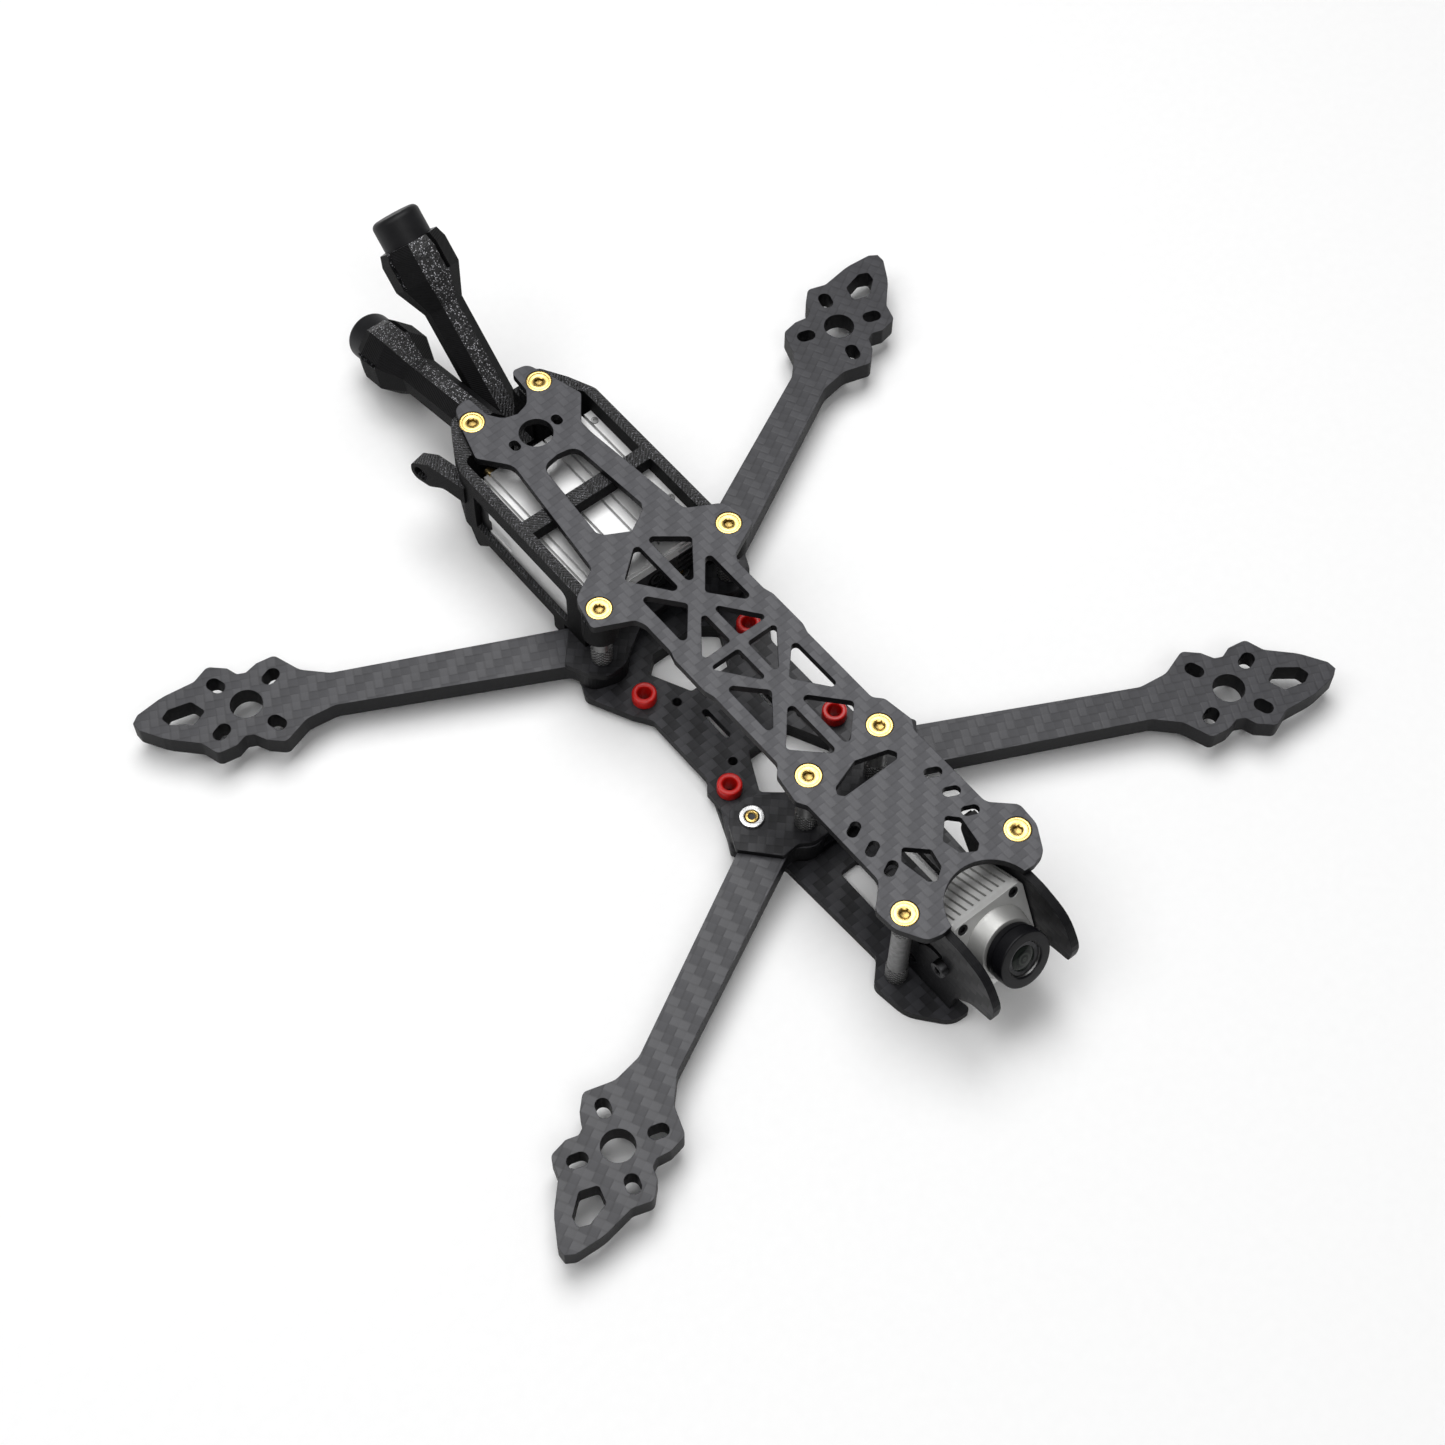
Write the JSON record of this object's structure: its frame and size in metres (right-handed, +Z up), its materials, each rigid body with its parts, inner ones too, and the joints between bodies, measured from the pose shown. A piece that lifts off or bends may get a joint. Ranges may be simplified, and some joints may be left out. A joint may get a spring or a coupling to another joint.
{
  "type": "fpv quadcopter frame kit",
  "caption": "Carbon racing quadcopter frame kit with plug-in arms, a tilting nose camera, a video transmitter in a printed rear cage and antenna stalks at the tail.",
  "frame": {"origin": "centre of the electronics stack, on the underside of the bottom plate", "axes": "+Z up, nose to -Y, the craft's left side to +X"},
  "size_m": [0.2196, 0.236, 0.0536],
  "materials": {
    "carbon_plate": "satin woven carbon laminate",
    "carbon_arm": "satin woven carbon laminate",
    "standoff_metal": "anodised grey, knurled ends",
    "gold_screw": "gold anodised",
    "dark_screw": "black oxide",
    "nut_steel": "bright steel",
    "red_silicone": "soft translucent",
    "printed_tpu": "layered print",
    "cap_black": "matt",
    "antenna_metal": "bare",
    "unit_metal": "bead blasted",
    "unit_plastic": "matt",
    "board_green": "solder mask",
    "connector_gold": "gold plated",
    "camera_metal": "bead blasted",
    "lens_black": "satin",
    "lens_clear": "coated"
  },
  "bodies": {
    "frame": {"bottom_plate": "carbon_plate", "middle_plate": "carbon_plate", "top_plate": "carbon_plate", "front_clamp_plate": "carbon_plate", "rear_clamp_plate": "carbon_plate", "arm_front_left": "carbon_arm", "arm_front_right": "carbon_arm", "arm_rear_left": "carbon_arm", "arm_rear_right": "carbon_arm", "camera_plate_left": "carbon_plate", "camera_plate_right": "carbon_plate", "front_standoff_left": "standoff_metal", "front_standoff_right": "standoff_metal", "mid_front_standoff_left": "standoff_metal", "mid_front_standoff_right": "standoff_metal", "mid_rear_standoff_left": "standoff_metal", "mid_rear_standoff_right": "standoff_metal", "rear_standoff_left": "standoff_metal", "rear_standoff_right": "standoff_metal", "top_plate_screws": "gold_screw", "bottom_plate_screws": "dark_screw", "arm_bolts": "gold_screw", "press_nuts": "nut_steel", "stack_grommets": "red_silicone", "rear_cage": "printed_tpu", "antenna_stalk_left": "printed_tpu", "antenna_stalk_right": "printed_tpu", "antenna_cap_left": "cap_black", "antenna_cap_right": "cap_black", "antenna_element_left": "antenna_metal", "antenna_element_right": "antenna_metal", "transmitter_case": "unit_metal", "transmitter_lid": "unit_metal", "transmitter_front_cap": "unit_plastic", "transmitter_rear_cap": "unit_plastic", "transmitter_board": "board_green", "transmitter_screws": "dark_screw", "antenna_connectors": "connector_gold"},
    "camera": {"camera_body": "camera_metal", "camera_front_plate": "camera_metal", "camera_face_screws": "dark_screw", "lens_shroud": "camera_metal", "lens_barrel": "lens_black", "lens_retainer": "lens_black", "lens_glass": "lens_clear", "camera_sensor_board": "board_green", "camera_pivot_screws": "dark_screw"}
  },
  "joints": [
    {"name": "camera_tilt", "type": "hinge", "parent": "frame", "child": "camera", "pos_m": [0, -0.0814, 0.0171], "axis": [-1, 0, 0], "range_deg": [-25.4, 19.6]}
  ]
}
